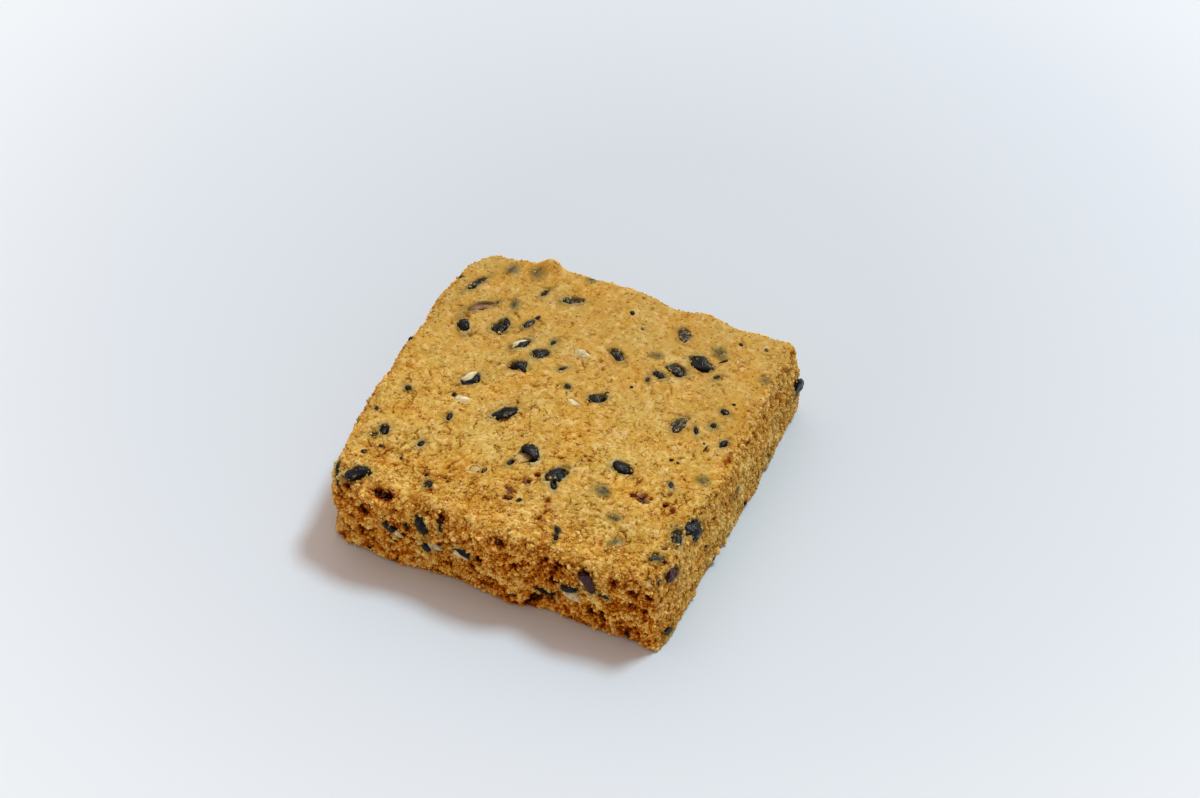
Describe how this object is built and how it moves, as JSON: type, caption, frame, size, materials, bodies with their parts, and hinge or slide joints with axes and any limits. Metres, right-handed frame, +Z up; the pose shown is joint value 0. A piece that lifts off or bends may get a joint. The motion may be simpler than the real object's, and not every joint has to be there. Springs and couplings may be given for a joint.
{
  "type": "black sesame cookie",
  "caption": "Square slab cookie of crumbly golden dough with black sesame, one bite-size piece that lies flat on a plate or tray.",
  "frame": {"origin": "bottom centre: the middle of the outline, on the flat underside", "axes": "+X along the front edge to the right, +Y from the front to the back, +Z up from the underside to the top"},
  "size_m": [0.0396, 0.0384, 0.0111],
  "materials": {
    "baked_dough": "matte",
    "black_seed": "satin",
    "pale_kernel": "satin"
  },
  "bodies": {
    "root": {"cookie": "baked_dough"}
  },
  "joints": []
}
